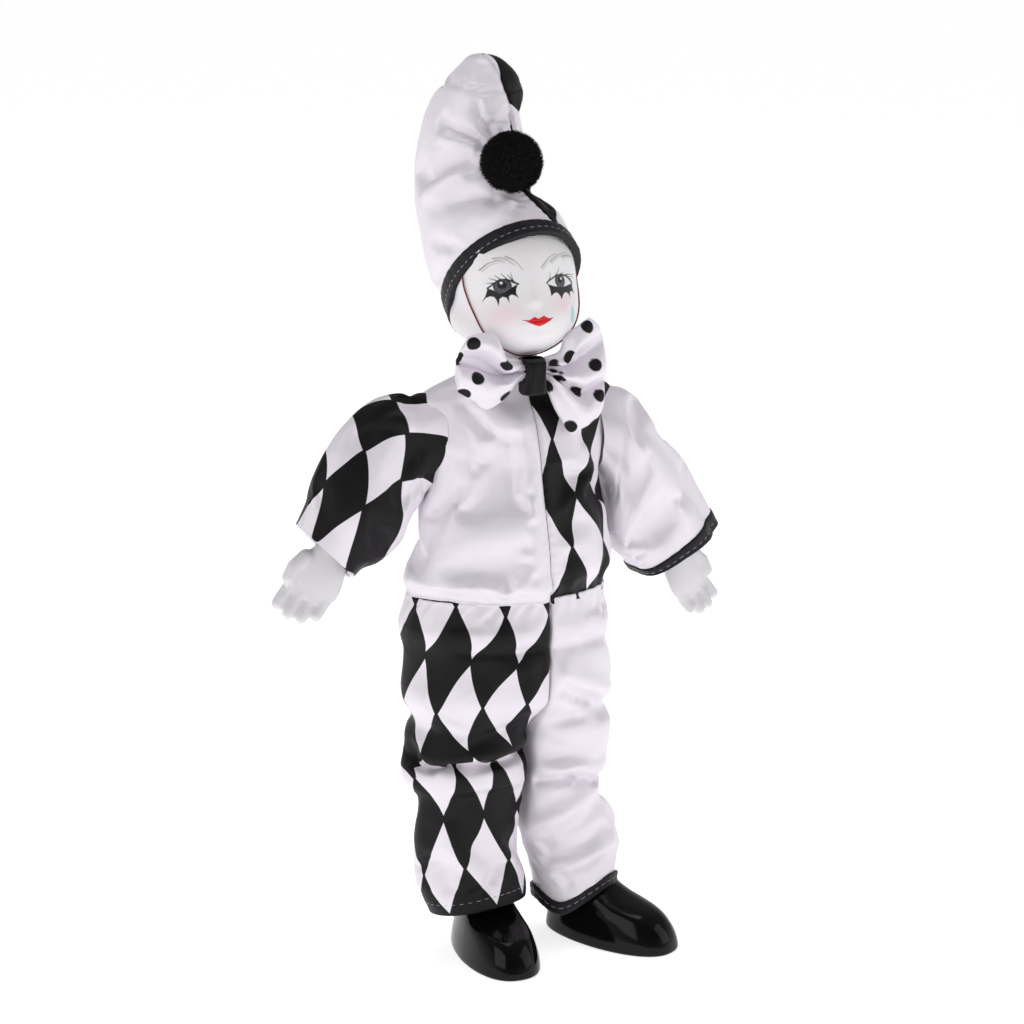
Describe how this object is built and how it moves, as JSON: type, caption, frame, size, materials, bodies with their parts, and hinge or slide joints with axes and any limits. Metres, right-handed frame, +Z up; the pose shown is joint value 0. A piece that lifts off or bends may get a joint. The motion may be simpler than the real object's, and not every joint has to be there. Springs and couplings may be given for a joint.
{
  "type": "porcelain clown doll",
  "caption": "Standing clown doll with a porcelain head, hands and shoes, a black and white satin suit, a tall cap with a pompom and a spotted bow.",
  "frame": {"origin": "middle of the overall box, on the ground under the soles of the shoes", "axes": "+Z up the doll, -Y the way it faces, +X towards its left hand"},
  "size_m": [0.2046, 0.0862, 0.375],
  "materials": {
    "bisque_porcelain": "white bisque with a soft sheen, painted face",
    "glazed_porcelain": "black, high gloss",
    "white_satin": "white polyester satin, soft lustre",
    "diamond_satin": "white satin printed with black diamonds",
    "spotted_satin": "white satin printed with black spots",
    "black_binding": "black satin bias binding with a row of stitches",
    "pompom_yarn": "black clipped yarn",
    "red_elastic": "thin dark red elastic cord"
  },
  "bodies": {
    "root": {"shoe_right": "glazed_porcelain", "shoe_left": "glazed_porcelain", "trousers_right_leg": "diamond_satin", "trousers_left_leg": "white_satin", "trousers_left_binding": "black_binding", "tunic_white_half": "white_satin", "tunic_diamond_half": "diamond_satin", "sleeve_right": "diamond_satin", "sleeve_left": "white_satin", "sleeve_left_binding": "black_binding", "hand_right": "bisque_porcelain", "hand_left": "bisque_porcelain", "head": "bisque_porcelain", "hat_white_half": "white_satin", "hat_diamond_half": "diamond_satin", "hat_binding": "black_binding", "pompom": "pompom_yarn", "chin_elastic": "red_elastic", "bow_right_wing": "spotted_satin", "bow_left_wing": "spotted_satin", "bow_knot": "black_binding"}
  },
  "joints": []
}
